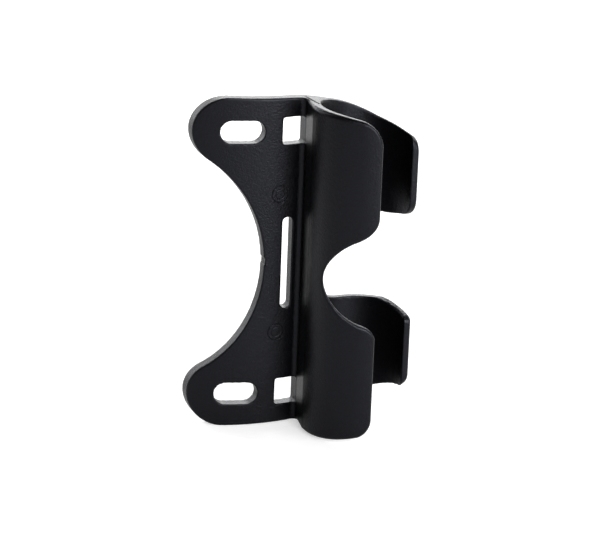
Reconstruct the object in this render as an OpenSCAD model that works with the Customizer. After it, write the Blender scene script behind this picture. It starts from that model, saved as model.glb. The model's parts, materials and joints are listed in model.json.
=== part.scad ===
// Bicycle pump holder, moulded in one piece.
// A slotted plate bolts to the two bottle bosses of the frame, and an open clip beside it, split
// by a round notch into an upper and a lower jaw, snaps around the pump's barrel.
// X runs from the bolt slots to the clip, Y from the front of the holder to the frame tube, Z up.
// The origin lies midway between the two bolt slots, on the back of the plate.

/* [Plate] */
// Distance between the two bottle bosses
bolt_pitch = 64; // [60:1:70]
// Width of a bolt slot
slot_w = 5.4; // [4.6:0.1:6]
// Length of a bolt slot from end to end
slot_l = 10.2; // [8:0.2:12]
// Thickness of the plate
plate_t = 3.1; // [2.4:0.1:4]
// Radius of the hollow back that seats on the frame tube
seat_r = 37; // [30:1:50]
// Distance from the bolt slots to the crown of the plate
crown_x = 8; // [4:0.5:10]
// Radius of the round ear around each bolt slot
ear_r = 8.1; // [7.4:0.1:9]
// Distance from a bolt slot to the centre of its ear
ear_x = 3; // [2:0.2:4]
// How far the waist between the ears cuts in past the bolt slots' line
waist_in = 5.7; // [2:0.1:7]

/* [Openings in the plate] */
// Distance from the bolt slots to the left side of the strap holes
window_x = 9.4; // [8.6:0.1:10]
// Height of a strap hole
window_h = 6.5; // [5:0.1:9]
// Distance from the bolt slots to the left side of the long slot
vent_x = 10; // [9:0.1:10.6]
// Width of the long slot
vent_w = 2.5; // [1.6:0.1:3.2]
// Length of the long slot
vent_l = 22.4; // [16:0.4:28]
// Diameter of the round marks that the ejector pins leave
mark_d = 4; // [2.5:0.1:4.5]
// Depth of the ejector marks
mark_deep = 0.15; // [0.05:0.05:0.3]
// Distance from the bolt slots to the ejector marks
mark_x = 9.2; // [8.5:0.1:10]
// Height of each ejector mark above or below the middle of the plate
mark_z = 16.9; // [15:0.1:19]

/* [Clip] */
// Radius of the bore that grips the pump
bore_r = 11.1; // [10:0.1:12]
// Thickness of the clip's wall
clip_t = 1.9; // [1.5:0.1:2.5]
// Distance from the bolt slots to the clip's bore
clip_x = 27.6; // [27:0.1:29]
// Distance from the back of the plate forward to the clip's bore
clip_y = 11.2; // [10:0.1:12]
// How far the clip reaches above the upper boss and below the lower one
clip_reach = 7.8; // [6:0.2:9]
// Radius of the sloping shoulders at the top and bottom
shoulder_r = 50; // [44:1:60]
// Distance from the bolt slots to where the shoulders begin
shoulder_x = 9.8; // [6:0.2:12]
// Radius of the fillet between plate and clip
root_r = 1.5; // [0.8:0.1:2.2]

/* [Jaws] */
// Distance from the bolt slots to the front jaw's free edge
front_x = 26.4; // [24:0.1:28]
// Angle of the rear jaw's free edge, counted forward from the X axis
rear_end = 12; // [4:1:20]
// Radius of the round notch between the jaws
notch_r = 10.9; // [9:0.1:12]
// Depth of the straight wall left beside the notch
notch_wall = 1.2; // [0.6:0.1:2]
// Radius of the front jaw's outer corner
front_corner_r = 4.5; // [3:0.1:6]
// Radius of the front jaw's corner at the notch
front_notch_r = 4.7; // [3:0.1:6]
// Radius of the rear jaw's outer corner
rear_corner_r = 3.4; // [2.5:0.1:5]
// Radius of the rear jaw's corner at the notch
rear_notch_r = 4.6; // [3:0.1:6]

/* [Hidden] */
$fn = 96;
plastic = "#26282b";

half_pitch = bolt_pitch / 2;
over = 1;
// How far the front jaw's lower corner runs into the notch, so that the two cross cleanly
nip = 0.05;
plate_top = half_pitch + ear_r;
clip_top = half_pitch + clip_reach;
clip_h = 2 * clip_top;
crown_r = seat_r + plate_t;
seat_y = sqrt(seat_r * seat_r - crown_x * crown_x);
clip_r = bore_r + clip_t;
wall_x = clip_x - clip_r;
// Front face of the plate at distance x from the bolt slots
function front_y(x) = seat_y - sqrt(crown_r * crown_r - (x - crown_x) * (x - crown_x));
function back_y(x) = seat_y - sqrt(seat_r * seat_r - (x - crown_x) * (x - crown_x));
// The waist is the circle that reaches waist_in and touches both ears
waist_from_ear = waist_in + ear_x;
waist_r = (pow(waist_from_ear, 2) + pow(half_pitch, 2) - pow(ear_r, 2)) / (2 * (waist_from_ear + ear_r));
neck_angle = asin(half_pitch / (waist_r + ear_r));
waist_x = waist_in - waist_r;
neck_x = -ear_x - ear_r * cos(neck_angle);
left_x = -ear_x - ear_r;
right_x = clip_x + clip_r;
front_edge = -clip_y - clip_r;
rear_tip_y = -clip_y - clip_r * sin(rear_end);
shoulder_end = acos((right_x + over - shoulder_x) / shoulder_r);
// Height of the sloping shoulder at distance x from the bolt slots
function shoulder(x) = clip_top - shoulder_r + sqrt(pow(shoulder_r, 2) - pow(x - shoulder_x, 2));
notch_x = wall_x + notch_wall + notch_r;

// Both halves of what is drawn above the middle plane
module mirrored() {
    children();
    mirror([0, 0, 1]) children();
}

// Prism along Y, from in front of the clip to behind the plate
module through_y(deep = 60) {
    translate([0, deep / 2, 0]) rotate([90, 0, 0]) linear_extrude(deep) children();
}

// Prism along X, whose outline is drawn with forward (-Y) to the right and Z up
module through_x(deep = 100) {
    rotate([90, 0, -90]) linear_extrude(deep, center = true) children();
}

// Horizontal slot with round ends
module slot_outline(length, width) {
    square([length - width, width], center = true);
    for (side = [-1, 1]) translate([side * (length - width) / 2, 0]) circle(d = width);
}

// Plan of the plate: a band that curves around the frame tube
module plate_plan() {
    intersection() {
        translate([crown_x, seat_y]) difference() {
            circle(crown_r);
            circle(seat_r);
        }
        translate([left_x - over, front_y(crown_x) - over]) square([wall_x - left_x + 2 * over, seat_r]);
    }
}

// Plan of the clip: the ring, its straight wall back to the plate, and the solid corner behind the bore
module clip_plan() {
    translate([clip_x, -clip_y]) circle(clip_r);
    polygon([
        [wall_x, back_y(wall_x)], [wall_x, -clip_y], [clip_x, -clip_y],
        [clip_x - clip_r * cos(60), -clip_y + clip_r * sin(60)]
    ]);
    // Fillet in the corner between plate and wall
    root_y = front_y(wall_x - root_r);
    translate([wall_x, root_y]) difference() {
        translate([-root_r, -root_r]) square([root_r + over, root_r + over]);
        translate([-root_r, -root_r]) circle(root_r);
    }
}

// Mouth between the two jaws' free edges, where the pump goes in
module mouth_plan() {
    reach = 2 * clip_r;
    polygon([
        [clip_x, -clip_y],
        [clip_x + reach * cos(rear_end), -clip_y - reach * sin(rear_end)],
        [clip_x + reach, front_edge - reach], [front_x + over, front_edge - reach], [front_x + over, -clip_y]
    ]);
}

// Section through the whole holder, the same at every height
module plan() {
    difference() {
        union() {
            plate_plan();
            clip_plan();
        }
        translate([clip_x, -clip_y]) circle(bore_r);
        mouth_plan();
    }
}

// Points along an arc
function arc(centre, r, from, to, steps) =
    [for (i = [0:steps]) centre + r * [cos(from + (to - from) * i / steps), sin(from + (to - from) * i / steps)]];

// Upper half of the outline seen from the front: shoulder, top edge, ear and waist
function upper_outline() = concat(
    arc([shoulder_x, clip_top - shoulder_r], shoulder_r, shoulder_end, 90, 30),
    arc([-ear_x, half_pitch], ear_r, 90, 180 + neck_angle, 36),
    [for (p = arc([waist_x, 0], waist_r, neck_angle, 0, 24)) if (p[0] > neck_x + 0.01) p]
);

module front_view() {
    upper = upper_outline();
    last = len(upper) - 1;
    polygon(concat(upper, [for (i = [last - 1:-1:0]) [upper[i][0], -upper[i][1]]]));
}

// Notch between the jaws, open to the right
module notch_front() {
    translate([notch_x, 0]) circle(notch_r);
    translate([notch_x, -notch_r]) square([right_x - notch_x + over, 2 * notch_r]);
}

// Strap hole beside the clip, cut through the plate and the fillet but not into the clip's wall
module strap_hole() {
    deep = 2 * plate_t + root_r;
    translate([window_x, front_y(window_x) - root_r, half_pitch - window_h / 2])
        cube([wall_x - window_x, deep, window_h]);
}

module ejector_mark() {
    translate([mark_x, front_y(mark_x) + mark_deep, mark_z]) rotate([90, 0, 0]) cylinder(d = mark_d, h = over);
}

// What is cut from the upper front jaw, seen from the front: all beyond its free edge and round corners
module front_jaw_waste() {
    top_x = front_x - front_corner_r;
    top_z = clip_top - shoulder_r + sqrt(pow(shoulder_r - front_corner_r, 2) - pow(top_x - shoulder_x, 2));
    low_x = front_x - front_notch_r;
    low_z = sqrt(pow(notch_r + front_notch_r - nip, 2) - pow(notch_x - low_x, 2));
    top_angle = atan2(top_z - clip_top + shoulder_r, top_x - shoulder_x);
    low_angle = atan2(low_z, low_x - notch_x) - 180;
    top_arc = arc([top_x, top_z], front_corner_r, top_angle, 0, 12);
    low_arc = arc([low_x, low_z], front_notch_r, 0, low_angle, 12);
    polygon(concat(top_arc, low_arc, [
        [low_arc[12][0], 0], [front_x + 2 * over, 0], [front_x + 2 * over, clip_top + over],
        [top_arc[0][0], clip_top + over]
    ]));
}

// What is cut from the upper rear jaw, seen from the side, with forward (-Y) to the right
module rear_jaw_waste() {
    tip = -rear_tip_y;
    top_z = shoulder(right_x - clip_t);
    top_arc = arc([tip - rear_corner_r, top_z - rear_corner_r], rear_corner_r, 90, 0, 8);
    low_arc = arc([tip - rear_notch_r, notch_r + rear_notch_r], rear_notch_r, 0, -90, 12);
    polygon(concat(top_arc, low_arc, [
        [low_arc[12][0], 0], [tip + over, 0], [tip + over, clip_top], [top_arc[0][0], clip_top]
    ]));
}

module jaw_waste() {
    intersection() {
        through_y() front_jaw_waste();
        translate([0, front_edge - over, -over]) cube([right_x, clip_r, clip_h]);
    }
    intersection() {
        through_x() rear_jaw_waste();
        translate([clip_x + bore_r / 2, front_edge, -over]) cube([clip_r, 2 * clip_r, clip_h]);
    }
}

module holder() {
    color(plastic) difference() {
        intersection() {
            linear_extrude(2 * (plate_top + over), center = true) plan();
            through_y() front_view();
        }
        through_y() notch_front();
        mirrored() {
            translate([0, 0, half_pitch]) through_y() slot_outline(slot_l, slot_w);
            strap_hole();
            ejector_mark();
            jaw_waste();
        }
        through_y() translate([vent_x + vent_w / 2, 0]) rotate(90) slot_outline(vent_l, vent_w);
    }
}

holder();
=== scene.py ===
"""A bicycle pump holder, moulded in one piece of satin black nylon, on a pale studio floor."""
import json

import bpy
import numpy as np
from mathutils import Matrix, Vector


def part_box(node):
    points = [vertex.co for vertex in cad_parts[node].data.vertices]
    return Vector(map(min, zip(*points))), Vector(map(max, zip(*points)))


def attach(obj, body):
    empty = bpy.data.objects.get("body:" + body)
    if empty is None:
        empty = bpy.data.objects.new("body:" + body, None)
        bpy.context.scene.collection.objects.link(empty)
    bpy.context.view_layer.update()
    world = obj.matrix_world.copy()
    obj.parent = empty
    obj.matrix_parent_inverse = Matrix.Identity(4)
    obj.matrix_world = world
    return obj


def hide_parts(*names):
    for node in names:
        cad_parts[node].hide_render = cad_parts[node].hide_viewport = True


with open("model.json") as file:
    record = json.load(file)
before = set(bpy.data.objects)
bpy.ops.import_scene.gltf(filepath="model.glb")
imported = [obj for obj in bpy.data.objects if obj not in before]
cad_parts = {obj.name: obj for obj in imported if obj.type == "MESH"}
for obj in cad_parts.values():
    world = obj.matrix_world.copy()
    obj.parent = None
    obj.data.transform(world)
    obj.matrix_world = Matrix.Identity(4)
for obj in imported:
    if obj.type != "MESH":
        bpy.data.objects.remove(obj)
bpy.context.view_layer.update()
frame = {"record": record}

# Holder
# The whole bracket: a slotted plate for the bottle bosses, and beside it an open clip that snaps round
# the pump. It is injection moulded in one shot of black nylon, so its edges are all slightly round and
# its faces carry the mould's fine grain. Its lengths are in millimetres.
MM = 0.001
low, high = (np.array(corner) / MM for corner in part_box("holder"))
clamp = next(m for m in frame["record"]["mounts"] if m["name"] == "pump_clip")
bore_x, bore_y = (c / MM for c in clamp["pos_m"][:2])
bore_r = clamp["dims"]["r_mm"]
wall = 1.9
wall_x = bore_x - bore_r - wall
outer_r = bore_r + wall


def both(a, b, r):
    """Distance to what lies inside both a and b: the larger, but at most -r, plus the hypotenuse of what
    each is above -r. That turns the edge between them to a radius r."""
    return np.minimum(np.maximum(a, b), -r) + np.hypot(np.maximum(a + r, 0), np.maximum(b + r, 0))


def ramp(value, start, end):
    """0 up to start, 1 from end on, and a smooth cubic between."""
    t = np.clip((value - start) / (end - start), 0, 1)
    return t * t * (3 - 2 * t)


# The plate's band follows the frame tube and ends inside the clip's wall
plate_t = 3.1
seat_r = 37.0
crown_x = 8.0
seat_y = np.sqrt(seat_r**2 - crown_x**2)


def plate_distance(x, y):
    """Distance to the plate seen from above: how far a point is from the middle of the band, less half its
    thickness, cut off inside the clip's wall and half a seat radius back."""
    from_seat = np.hypot(x - crown_x, y - seat_y)
    band = np.abs(from_seat - seat_r - plate_t / 2) - plate_t / 2
    return np.maximum(band, np.maximum(x - wall_x - wall, y - seat_r / 2))


# The clip's ring grows thicker towards its left, and a web with a leaning side joins it to the plate
lean = np.radians(7.9)
extra_wall = 0.65
web_angle = np.radians(60)
thicker_from = 0.5
bore_core = 1.0


def place_on_ring(x, y):
    """Distance from the bore's axis, and the cosine of the angle from straight left of it: 1 there, and 0
    straight in front of the axis or behind it. The core keeps the division from failing on the axis."""
    from_bore = np.hypot(x - bore_x, y - bore_y)
    return from_bore, (bore_x - x) / np.maximum(from_bore, bore_core)


def clip_distance(x, y):
    """Distance to the clip seen from above: the ring, whose radius grows towards the left, or the web,
    which is right of the leaning side, behind the bore and in front of its slanting back."""
    from_bore, leftness = place_on_ring(x, y)
    ring = from_bore - outer_r - extra_wall * ramp(leftness, thicker_from, 1.0)
    corner = np.array([wall_x, seat_y - np.sqrt(seat_r**2 - (wall_x - crown_x) ** 2)])
    far = np.array([bore_x - outer_r * np.cos(web_angle), bore_y + outer_r * np.sin(web_angle)])
    along = (far - corner) / np.linalg.norm(far - corner)
    behind = (y - corner[1]) * along[0] - (x - corner[0]) * along[1]
    beside = (bore_x - x) * np.cos(lean) + (y - bore_y) * np.sin(lean) - outer_r - extra_wall
    web = np.maximum(np.maximum(beside, behind), np.maximum(bore_y - y, x - bore_x))
    return np.minimum(web, ring)


# The outline seen from the front. A pair holds a value for the upper half and one for the lower
boss_pitch = 64.0
ear_r, ear_x = 8.1, -3.0
waist_in = 5.7
waist_r = ((waist_in - ear_x) ** 2 + (boss_pitch / 2) ** 2 - ear_r**2) / (2 * (waist_in - ear_x + ear_r))
waist_x = waist_in - waist_r
clip_top = 39.8
shoulder_r, shoulder_x = 50.0, 9.8
top_slope = (boss_pitch / 2 + ear_r - clip_top) / (shoulder_x - ear_x)
notch_r = 10.9
notch_wall = 1.2
notch_x = wall_x + notch_wall + notch_r
front_x = 26.4
front_corner_r, front_notch_r = (4.5, 3.2), (4.7, 3.0)
rear_from_x = bore_x + bore_r / 2
rear_angle = np.radians(0.7)
rear_rise = 0.45
rear_corner_r, rear_notch_r = (2.3, 1.5), (3.6, 1.3)
# Towards the rear jaws' tips the notch grows wider: how fast, from which y, and by how much at least
notch_flare, flare_from, flare_least = (0.17, 0.30), (-5.9, -2.2), (-0.6, 0.0)
flare_reach = 4.0


def outline_distance(x, y, z):
    """Distance to the outline seen from the front: ears and waist on the left, sloping shoulders at the
    top and bottom, the notch between the jaws, and each jaw's free edge with its round corners."""
    def here(pair):
        """The pair's first value in the upper half, its second in the lower."""
        return np.where(z < 0, pair[1], pair[0])

    from_middle = np.abs(z)
    in_ear = from_middle * (ear_x - waist_x) > (x - waist_x) * boss_pitch / 2
    ear = np.where(x < ear_x, np.hypot(x - ear_x, from_middle - boss_pitch / 2) - ear_r, -ear_r)
    left = np.where(in_ear, ear, waist_r - np.hypot(x - waist_x, from_middle))
    shoulder = np.hypot(x - shoulder_x, from_middle - clip_top + shoulder_r) - shoulder_r
    straight = from_middle - clip_top - top_slope * (shoulder_x - x)
    top = np.where(x > shoulder_x, shoulder, straight)
    notch = np.where(x < notch_x, np.hypot(x - notch_x, from_middle), from_middle) - notch_r
    plain = np.maximum(np.maximum(left, top), -notch)
    front = both(x - front_x, top, here(front_corner_r))
    front = both(front, -notch, here(front_notch_r))
    rear_edge = (bore_x - x) * np.sin(rear_angle) + (bore_y - y) * np.cos(rear_angle)
    rear_top = top - rear_rise * ramp(x, rear_from_x, bore_x + bore_r)
    flare = np.maximum(here(notch_flare) * (here(flare_from) - y), here(flare_least))
    rear_notch = notch - flare * ramp(x, rear_from_x, rear_from_x + flare_reach)
    rear = both(rear_edge, rear_top, here(rear_corner_r))
    rear = both(rear, -rear_notch, here(rear_notch_r))
    return np.where(x > rear_from_x, rear, np.where(y < bore_y, front, plain))


# The openings, the gate's nick, and the radii that the mould gives the edges
slot_w, slot_l = 5.4, 10.2
long_x, long_w, long_l = 11.25, 2.5, 22.4
strap_x, strap_w, strap_h, strap_corner_r = 12.05, 5.3, 6.5, 0.6
gate_z, gate_h, gate_deep = 0.7, 1.4, 0.25
fillet_r = 1.5
fillet_from, fillet_full = 0.3 * plate_t, 0.9 * plate_t
edge_r, hole_edge_r, arm_edge_r, root_edge_r = 0.35, 0.2, 0.85, 1.15
root_from = 0.2


def box_distance(u, v, half_u, half_v, corner_r):
    """Distance to a rectangle with round corners: the hypotenuse of what u and v stand out by of one
    smaller by the radius, or the nearest side inside, less the radius."""
    du = np.abs(u) - half_u + corner_r
    dv = np.abs(v) - half_v + corner_r
    return np.hypot(np.maximum(du, 0), np.maximum(dv, 0)) + np.minimum(np.maximum(du, dv), 0) - corner_r


def holder_distance(x, y, z):
    """Distance to the holder: plate and clip, joined by a fillet in front, less slots, holes and bore, all
    inside the outline. The clip's edges are rounder than the others, and most of all those at the root
    of its arms near the top and bottom."""
    from_middle = np.abs(z)
    from_boss = from_middle - boss_pitch / 2
    slot = np.hypot(np.maximum(np.abs(x) - (slot_l - slot_w) / 2, 0), from_boss) - slot_w / 2
    long_slot = np.hypot(x - long_x, np.maximum(from_middle - (long_l - long_w) / 2, 0)) - long_w / 2
    strap = box_distance(x - strap_x, from_boss, strap_w / 2, strap_h / 2, strap_corner_r)
    holes = np.minimum(np.minimum(slot, long_slot), strap)
    gate = np.maximum(np.abs(z - gate_z) - gate_h / 2, x - waist_in - gate_deep)
    clip = clip_distance(x, y)
    joined = -both(-plate_distance(x, y), -clip, fillet_r * ramp(-y, fillet_from, fillet_full))
    plate = np.maximum(both(joined, -holes, hole_edge_r), -gate)
    from_bore, leftness = place_on_ring(x, y)
    bore = from_bore - bore_r
    at_root = ramp(leftness, root_from, 1.0) * ramp(from_middle, boss_pitch / 4, boss_pitch / 2)
    on_clip = ramp(bore, 0, wall) * ramp(-y, plate_t, 2 * plate_t)
    clip_edge_r = arm_edge_r + (root_edge_r - arm_edge_r) * at_root
    rounding = edge_r + (clip_edge_r - edge_r) * on_clip
    return both(both(np.minimum(plate, clip), -bore, edge_r / 2), outline_distance(x, y, z), rounding)


def slope(points, reach=0.01):
    """Direction in which the distance grows at each point, by its change across a short reach each way
    along each axis."""
    g = np.stack([holder_distance(*(points + step).T) - holder_distance(*(points - step).T)
                  for step in np.eye(3) * reach], 1)
    return g / np.maximum(np.linalg.norm(g, axis=1, keepdims=True), 1e-9)


def skin(axes, values):
    """The surface where values on a 3-D grid pass through zero: one vertex in each cell that it crosses,
    at the mean of the crossings of the cell's edges, and one quad across each grid edge it crosses."""
    inside = values < 0
    cells = tuple(n - 1 for n in values.shape)
    total, count = np.zeros(cells + (3,)), np.zeros(cells)
    crossings = []
    for axis in range(3):
        near = [slice(None)] * 3
        near[axis] = slice(0, -1)
        far = [slice(None)] * 3
        far[axis] = slice(1, None)
        cross = np.argwhere(inside[tuple(near)] != inside[tuple(far)])
        step = np.eye(3, dtype=int)[axis]
        a, b = values[tuple(cross.T)], values[tuple((cross + step).T)]
        place = np.stack([axes[k][cross[:, k]] for k in range(3)], 1).astype(float)
        place[:, axis] += a / (a - b) * (axes[axis][1] - axes[axis][0])
        u, v = (axis + 1) % 3, (axis + 2) % 3
        ring = []
        for du, dv in ((0, 0), (1, 0), (1, 1), (0, 1)):
            cell = cross.copy()
            cell[:, u] -= du
            cell[:, v] -= dv
            np.add.at(total, tuple(cell.T), place)
            np.add.at(count, tuple(cell.T), 1)
            ring.append(cell)
        crossings.append((np.stack(ring, 1), a > b))
    number = np.full(cells, -1)
    number[count > 0] = np.arange((count > 0).sum())
    quads = []
    for ring, flip in crossings:
        quad = number[ring[..., 0], ring[..., 1], ring[..., 2]]
        quads.append(np.where(flip[:, None], quad[:, ::-1], quad))
    return total[count > 0] / count[count > 0][:, None], np.concatenate(quads)


grid_step = 0.36
smoothings, settlings = 3, 2
margin = 2 * grid_step
axes = [np.arange(low[k] - margin, high[k] + margin + grid_step, grid_step) for k in range(2)]
half_steps = int(np.ceil(high[2] / grid_step)) + 2
axes.append((np.arange(-half_steps, half_steps) + 0.5) * grid_step)
values = holder_distance(axes[0][:, None, None], axes[1][None, :, None], axes[2][None, None, :])
points, quads = skin(axes, values)
sides = np.concatenate([quads[:, [i, (i + 1) % 4]] for i in range(4)])
degree = np.bincount(sides.ravel(), minlength=len(points))
for turn in range(smoothings + 1):
    # Evens out the quads, except in the last turn, then puts each vertex back on the surface
    if turn < smoothings:
        around = np.stack([np.bincount(sides.ravel(), points[sides[:, ::-1].ravel(), k], len(points))
                           for k in range(3)], 1)
        points = 0.5 * points + 0.5 * around / degree[:, None]
    for _ in range(settlings):
        points -= slope(points) * holder_distance(*points.T)[:, None]

mesh = bpy.data.meshes.new("pump_holder")
mesh.from_pydata(points * MM, [], quads)
mesh.shade_smooth()
mesh.normals_split_custom_set_from_vertices(slope(points))
holder = bpy.data.objects.new("pump_holder", mesh)
bpy.context.collection.objects.link(holder)


def linear(hex_colour):
    """An sRGB hex colour such as "#26282b" as linear RGBA: each channel through the sRGB curve."""
    c = np.array([int(hex_colour[i:i + 2], 16) for i in (1, 3, 5)]) / 255
    return (*np.where(c <= 0.04045, c / 12.92, ((c + 0.055) / 1.055) ** 2.4), 1.0)


def add(tree, kind, settings=(), links=()):
    """Adds a node of that kind, gives its inputs and properties the settings, and links its inputs, by
    name or number, to other nodes' outputs."""
    made = tree.nodes.new(kind)
    for name, value in dict(settings).items():
        if isinstance(name, int) or name in made.inputs:
            made.inputs[name].default_value = value
        else:
            setattr(made, name, value)
    for name, output in dict(links).items():
        tree.links.new(output, made.inputs[name])
    return made


# Moulded nylon, black all through, off a finely eroded mould: satin, with soft wide highlights. The
# ejector pins leave rings on the plate, and the mould's halves a line across the top and bottom.
nylon_ior, gloss_level, satin = 1.53, 0.22, 0.29
# The grain and the parting line are drawn coarser than real ones, which wouldn't show at this size
grain_size, grain_deep = 0.5, 0.11
seam_w, seam_rough = 0.8, 0.71
seam_start, seam_end = np.array([15.13, -2.04, 0]), np.array([16.07, -9.02, 0])
ring_w, groove_deep = 0.32, 0.12
mark_x, mark_z, mark_r, pin_r = 9.2, 16.9, 2.0, 1.1
pin_depth_share = 0.5
front_from = -0.75 * plate_t
nylon = bpy.data.materials.new("moulded_black_nylon")
nylon.use_nodes = True
tree = nylon.node_tree
tree.nodes.clear()
coords = add(tree, "ShaderNodeTexCoord").outputs["Object"]
depth_y = add(tree, "ShaderNodeSeparateXYZ", links={"Vector": coords}).outputs["Y"]
# One half's ring centre serves both, because the absolute value folds the lower half onto the upper
folded = add(tree, "ShaderNodeVectorMath", {"operation": "ABSOLUTE"}, {0: coords})
flat = add(tree, "ShaderNodeVectorMath", {"operation": "MULTIPLY", 1: (1, 0, 1)}, {0: folded.outputs[0]})
from_pin = add(tree, "ShaderNodeVectorMath", {"operation": "DISTANCE", 1: (mark_x * MM, 0, mark_z * MM)},
               {0: flat.outputs[0]})
seam_run = (seam_end - seam_start) / np.linalg.norm(seam_end - seam_start)
seam_side = np.cross((0, 0, 1), seam_run)
from_seam = add(tree, "ShaderNodeVectorMath", {"operation": "DOT_PRODUCT", 1: seam_side}, {0: coords})
grooves = []
for offset, line, width, depth in (
        (from_pin, mark_r, ring_w, 1.0), (from_pin, pin_r, ring_w, pin_depth_share),
        (from_seam, seam_side @ seam_start, seam_w, 1.0)):
    # A groove has its full depth along its line, and none from half its width on
    past = add(tree, "ShaderNodeMath", {"operation": "SUBTRACT", 1: line * MM}, {0: offset.outputs["Value"]})
    away = add(tree, "ShaderNodeMath", {"operation": "ABSOLUTE"}, {0: past.outputs[0]})
    grooves.append(add(tree, "ShaderNodeMapRange", {
        "interpolation_type": "SMOOTHSTEP", "From Max": width / 2 * MM, "To Min": depth, "To Max": 0.0},
        {0: away.outputs[0]}))
mark_groove, pin_groove, seam_groove = (groove.outputs[0] for groove in grooves)
on_front = add(tree, "ShaderNodeMath", {"operation": "LESS_THAN", 1: front_from * MM}, {0: depth_y})
on_end = add(tree, "ShaderNodeMath", {"operation": "COMPARE", 1: (seam_start + seam_end)[1] / 2 * MM,
                                      2: (seam_start - seam_end)[1] / 2 * MM}, {0: depth_y})
rings = add(tree, "ShaderNodeMath", {"operation": "ADD"}, {0: mark_groove, 1: pin_groove})
seam = add(tree, "ShaderNodeMath", {"operation": "MULTIPLY"}, {0: seam_groove, 1: on_end.outputs[0]})
marks = add(tree, "ShaderNodeMath", {"operation": "MULTIPLY_ADD"},
            {0: rings.outputs[0], 1: on_front.outputs[0], 2: seam.outputs[0]})
roughness = add(tree, "ShaderNodeMath", {"operation": "MULTIPLY_ADD", 1: seam_rough, 2: satin},
                {0: seam.outputs[0]})
grain = add(tree, "ShaderNodeTexNoise", {"Scale": 1 / (grain_size * MM), "Detail": 3.0, "Roughness": 0.65},
            {"Vector": coords})
fine = add(tree, "ShaderNodeBump", {"Strength": 1.0, "Distance": grain_deep * MM},
           {"Height": grain.outputs["Fac"]})
bump = add(tree, "ShaderNodeBump", {"Strength": 1.0, "Distance": groove_deep * MM, "invert": True},
           {"Height": marks.outputs[0], "Normal": fine.outputs["Normal"]})
plastic = add(tree, "ShaderNodeBsdfPrincipled", {
    "Base Color": linear("#050506"), "IOR": nylon_ior,
    "Specular IOR Level": gloss_level, "Specular Tint": linear("#ebeeff")},
    {"Roughness": roughness.outputs[0], "Normal": bump.outputs["Normal"]})
add(tree, "ShaderNodeOutputMaterial", links={"Surface": plastic.outputs["BSDF"]})
mesh.materials.append(nylon)
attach(holder, "root")
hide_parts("holder")

# Floor
# A white studio table that the holder stands on. To the camera it also glows, less round the holder,
# so that it is white where it is lit and the holder's shadow still shows on it.
floor_size = 8.0
glow_start, glow_full = 0.2, 1.0
glow_near, glow_far = 0.5, 1.0
floor_mesh = bpy.data.meshes.new("studio_floor")
corners = np.array([(-1, -1), (1, -1), (1, 1), (-1, 1)]) * floor_size / 2
floor_mesh.from_pydata([(x, y, low[2] * MM) for x, y in corners], [], [(0, 1, 2, 3)])
floor = bpy.data.objects.new("studio_floor", floor_mesh)
bpy.context.collection.objects.link(floor)
# White paper, matt all over
paper = bpy.data.materials.new("white_paper")
paper.use_nodes = True
tree = paper.node_tree
tree.nodes.clear()
seen = add(tree, "ShaderNodeLightPath").outputs["Is Camera Ray"]
sheet = add(tree, "ShaderNodeBsdfDiffuse", {"Color": linear("#e6e6e6")})
coords = add(tree, "ShaderNodeTexCoord").outputs["Object"]
far_off = add(tree, "ShaderNodeVectorMath", {"operation": "LENGTH"}, {0: coords})
level_there = add(tree, "ShaderNodeMapRange", {
    "interpolation_type": "SMOOTHSTEP", "From Min": glow_start, "From Max": glow_full,
    "To Min": glow_near, "To Max": glow_far}, {0: far_off.outputs["Value"]})
glow_level = add(tree, "ShaderNodeMath", {"operation": "MULTIPLY"}, {0: seen, 1: level_there.outputs[0]})
glow = add(tree, "ShaderNodeEmission", links={"Strength": glow_level.outputs[0]})
lit = add(tree, "ShaderNodeAddShader", links={0: sheet.outputs[0], 1: glow.outputs[0]})
add(tree, "ShaderNodeOutputMaterial", links={"Surface": lit.outputs[0]})
floor_mesh.materials.append(paper)

# Light
# Square softboxes round the holder in a dim white room: three in front for its faces, a row round its
# right and back for the bright rims, and two behind its left side for the plate's edge and the holes.
room_level = 0.11
lamp_reach, lamp_size, lowest = 1.2, 0.5, 0.21
world = bpy.data.worlds.new("white_room")
bpy.context.scene.world = world
world.use_nodes = True
tree = world.node_tree
tree.nodes.clear()
seen = add(tree, "ShaderNodeLightPath").outputs["Is Camera Ray"]
level_seen = add(tree, "ShaderNodeMapRange", {"To Min": room_level, "To Max": 1.0}, {0: seen})
room = add(tree, "ShaderNodeBackground", {"Color": linear("#ffffff")}, {"Strength": level_seen.outputs[0]})
add(tree, "ShaderNodeOutputWorld", links={"Surface": room.outputs[0]})


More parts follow.
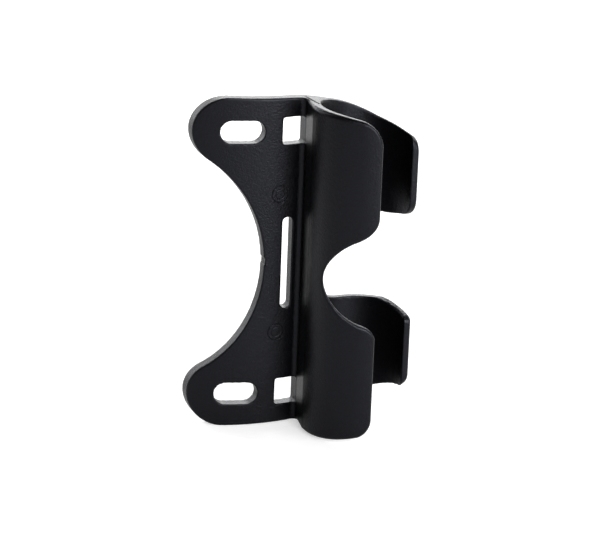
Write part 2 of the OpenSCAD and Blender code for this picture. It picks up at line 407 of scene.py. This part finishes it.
def softbox(name, turn, height, watts):
    """A square lamp that faces the holder from turn degrees clockwise of straight behind and height
    degrees up, kept clear of the floor and unseen by the camera."""
    lamp = bpy.data.lights.new(name, "AREA")
    lamp.shape, lamp.size, lamp.energy = "SQUARE", lamp_size, watts
    made = bpy.data.objects.new(name, lamp)
    bpy.context.collection.objects.link(made)
    turn, height = np.radians([turn, height])
    towards = Vector((np.sin(turn) * np.cos(height), np.cos(turn) * np.cos(height), np.sin(height)))
    place = towards * lamp_reach
    place.z = max(place.z, lowest)
    made.matrix_world = Matrix.Translation(place) @ place.to_track_quat("Z", "Y").to_matrix().to_4x4()
    made.visible_camera = False


softbox("front", 180, 25, 10.2)
softbox("front_right_low", 160, 10, 5.6)
softbox("right_front", 140, 20, 3.9)
softbox("right_high", 80, 40, 4.4)
softbox("back_right_high", 40, 30, 4.9)
softbox("back_right", 60, 20, 1.8)
softbox("back", 20, 20, 3.6)
softbox("back_low", 0, 10, 2.7)
softbox("back_left_low", 340, 10, 1.3)
softbox("left_high", 320, 40, 1.8)
softbox("left_low", 320, 10, 2.3)

# Camera
# A long lens from the front left and a little above, where the photograph was taken from. Its
# place was solved from the holder's edges, which mirror each other above and below the middle.
azimuth, elevation, roll = np.radians([20.36, 18.04, 2.10])
distance, aim_right, aim_up = 597.55, 15.08, -1.31
image_w, focal_px, film = 600, 2552.98, 36.0
ahead = np.array([np.sin(azimuth), np.cos(azimuth), 0])
vertical = np.array([0, 0, 1])
forward = np.cos(elevation) * ahead - np.sin(elevation) * vertical
level = np.cross(ahead, vertical)
upright = np.cross(level, forward)
right = np.cos(roll) * level + np.sin(roll) * upright
up = np.cos(roll) * upright - np.sin(roll) * level
lens = bpy.data.cameras.new("long_lens")
lens.sensor_fit, lens.sensor_width, lens.lens = "HORIZONTAL", film, focal_px * film / image_w
camera = bpy.data.objects.new("long_lens", lens)
bpy.context.collection.objects.link(camera)
place = (-distance * forward + aim_right * right + aim_up * up) * MM
turned = np.stack([right, up, -forward], 1)
camera.matrix_world = Matrix([[*row, p] for row, p in zip(turned, place)] + [[0, 0, 0, 1]])
bpy.context.scene.camera = camera
bpy.context.scene.view_settings.view_transform = "Standard"
